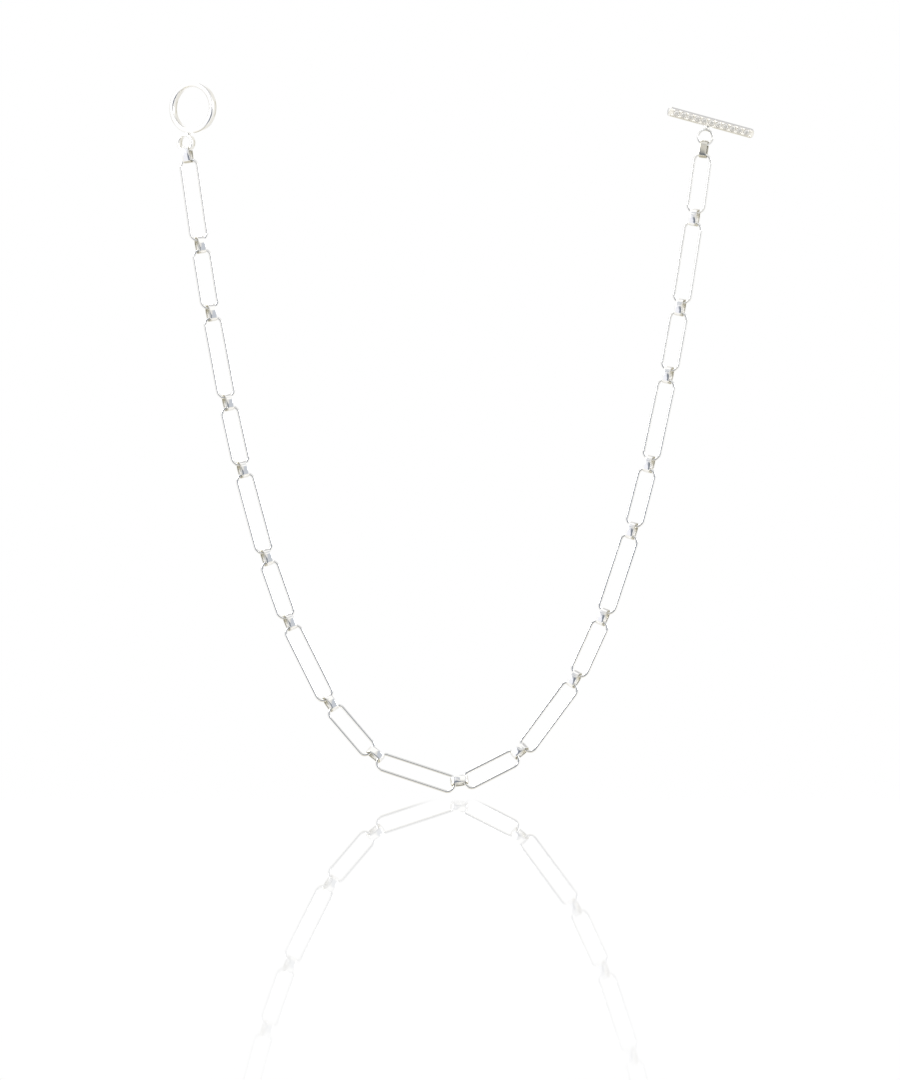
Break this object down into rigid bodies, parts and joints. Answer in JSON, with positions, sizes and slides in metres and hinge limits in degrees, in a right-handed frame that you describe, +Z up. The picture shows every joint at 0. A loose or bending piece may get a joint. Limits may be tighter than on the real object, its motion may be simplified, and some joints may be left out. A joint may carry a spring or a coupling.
{
  "type": "paperclip chain necklace",
  "caption": "Open paperclip-link neck chain hanging from its two ends, with a toggle ring on one end and a toggle bar set with a row of small stones on the other.",
  "frame": {"origin": "midway between the two ends of the chain, where the necklace hangs", "axes": "+Z up against the pull of the hanging chain, +X to the right from the toggle ring to the toggle bar, and the flat side of the links faces -Y"},
  "size_m": [0.1748, 0.0108, 0.2123],
  "materials": {
    "silver": "polished sterling silver",
    "stones": "clear, cut and polished"
  },
  "bodies": {
    "root": {"clasp_ring": "silver", "connector_1": "silver", "connector_2": "silver", "connector_3": "silver", "connector_4": "silver", "connector_5": "silver", "connector_6": "silver", "connector_7": "silver", "connector_8": "silver", "connector_9": "silver", "connector_10": "silver", "connector_11": "silver", "connector_12": "silver", "connector_13": "silver", "connector_14": "silver", "connector_15": "silver", "connector_16": "silver", "connector_17": "silver", "connector_18": "silver", "connector_19": "silver", "long_link_1": "silver", "short_link_1": "silver", "long_link_2": "silver", "short_link_2": "silver", "long_link_3": "silver", "short_link_3": "silver", "long_link_4": "silver", "short_link_4": "silver", "long_link_5": "silver", "short_link_5": "silver", "long_link_6": "silver", "short_link_6": "silver", "long_link_7": "silver", "short_link_7": "silver", "long_link_8": "silver", "short_link_8": "silver", "long_link_9": "silver", "short_link_9": "silver", "toggle_bar": "silver", "bar_stones": "stones"}
  },
  "joints": []
}
